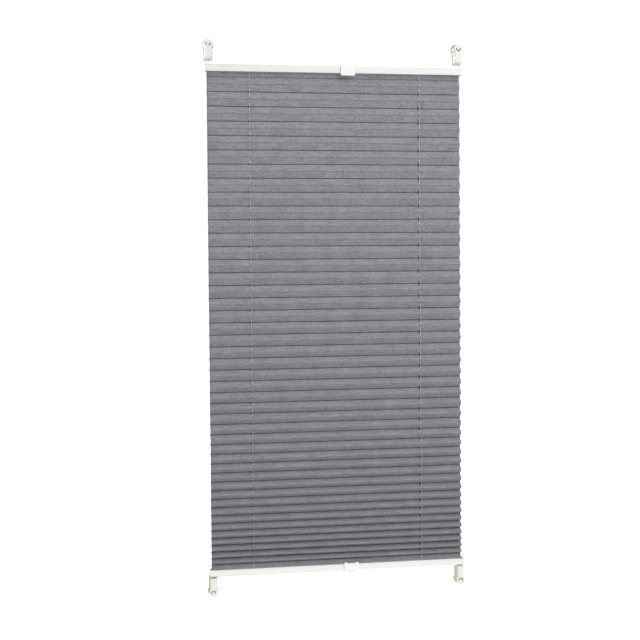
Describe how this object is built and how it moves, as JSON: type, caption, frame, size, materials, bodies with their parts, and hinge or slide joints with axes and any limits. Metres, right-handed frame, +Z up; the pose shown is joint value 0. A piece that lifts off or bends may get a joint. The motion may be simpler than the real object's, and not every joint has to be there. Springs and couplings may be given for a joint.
{
  "type": "pleated blind",
  "caption": "Cord-tensioned pleated window blind with two sliding rails, clip handles and four screw-on tension shoes.",
  "frame": {"origin": "midway between the four screw holes, in the plane of the brackets' backs", "axes": "+Z up along the drop, +X to the right across the blind, -Y out of the front, +Y into the wall"},
  "size_m": [0.681, 0.0303, 1.4282],
  "materials": {
    "rail": "satin cream-white paint",
    "cap": "satin moulded",
    "handle": "satin moulded",
    "plate": "fine spark texture",
    "shoe": "fine spark texture",
    "guide": "smooth",
    "strip": "extruded",
    "cloth": "crinkled woven polyester, pleated",
    "cord": "braided"
  },
  "bodies": {
    "brackets": {"pleated_cloth": "cloth", "left_tension_cord": "cord", "right_tension_cord": "cord", "top_left_bracket_plate": "plate", "top_left_tension_shoe": "shoe", "top_right_bracket_plate": "plate", "top_right_tension_shoe": "shoe", "bottom_left_bracket_plate": "plate", "bottom_left_tension_shoe": "shoe", "bottom_right_bracket_plate": "plate", "bottom_right_tension_shoe": "shoe"},
    "top_carriage": {"top_rail": "rail", "top_fabric_strip": "strip", "top_left_end_cap": "cap", "top_left_cord_guide": "guide", "top_right_end_cap": "cap", "top_right_cord_guide": "guide"},
    "bottom_carriage": {"bottom_rail": "rail", "bottom_fabric_strip": "strip", "bottom_left_end_cap": "cap", "bottom_left_cord_guide": "guide", "bottom_right_end_cap": "cap", "bottom_right_cord_guide": "guide"},
    "top_clip": {"top_handle": "handle"},
    "bottom_clip": {"bottom_handle": "handle"}
  },
  "joints": [
    {"name": "top_rail_slide", "type": "slide", "parent": "brackets", "child": "top_carriage", "axis": [0, 0, -1], "range_m": [0, 0.58], "deforming": ["pleated_cloth", "left_tension_cord", "right_tension_cord"]},
    {"name": "bottom_rail_slide", "type": "slide", "parent": "brackets", "child": "bottom_carriage", "axis": [0, 0, 1], "range_m": [0, 0.58], "deforming": ["pleated_cloth", "left_tension_cord", "right_tension_cord"]},
    {"name": "top_handle_slide", "type": "slide", "parent": "top_carriage", "child": "top_clip", "axis": [1, 0, 0], "range_m": [-0.32, 0.256]},
    {"name": "bottom_handle_slide", "type": "slide", "parent": "bottom_carriage", "child": "bottom_clip", "axis": [1, 0, 0], "range_m": [-0.32, 0.256]}
  ]
}
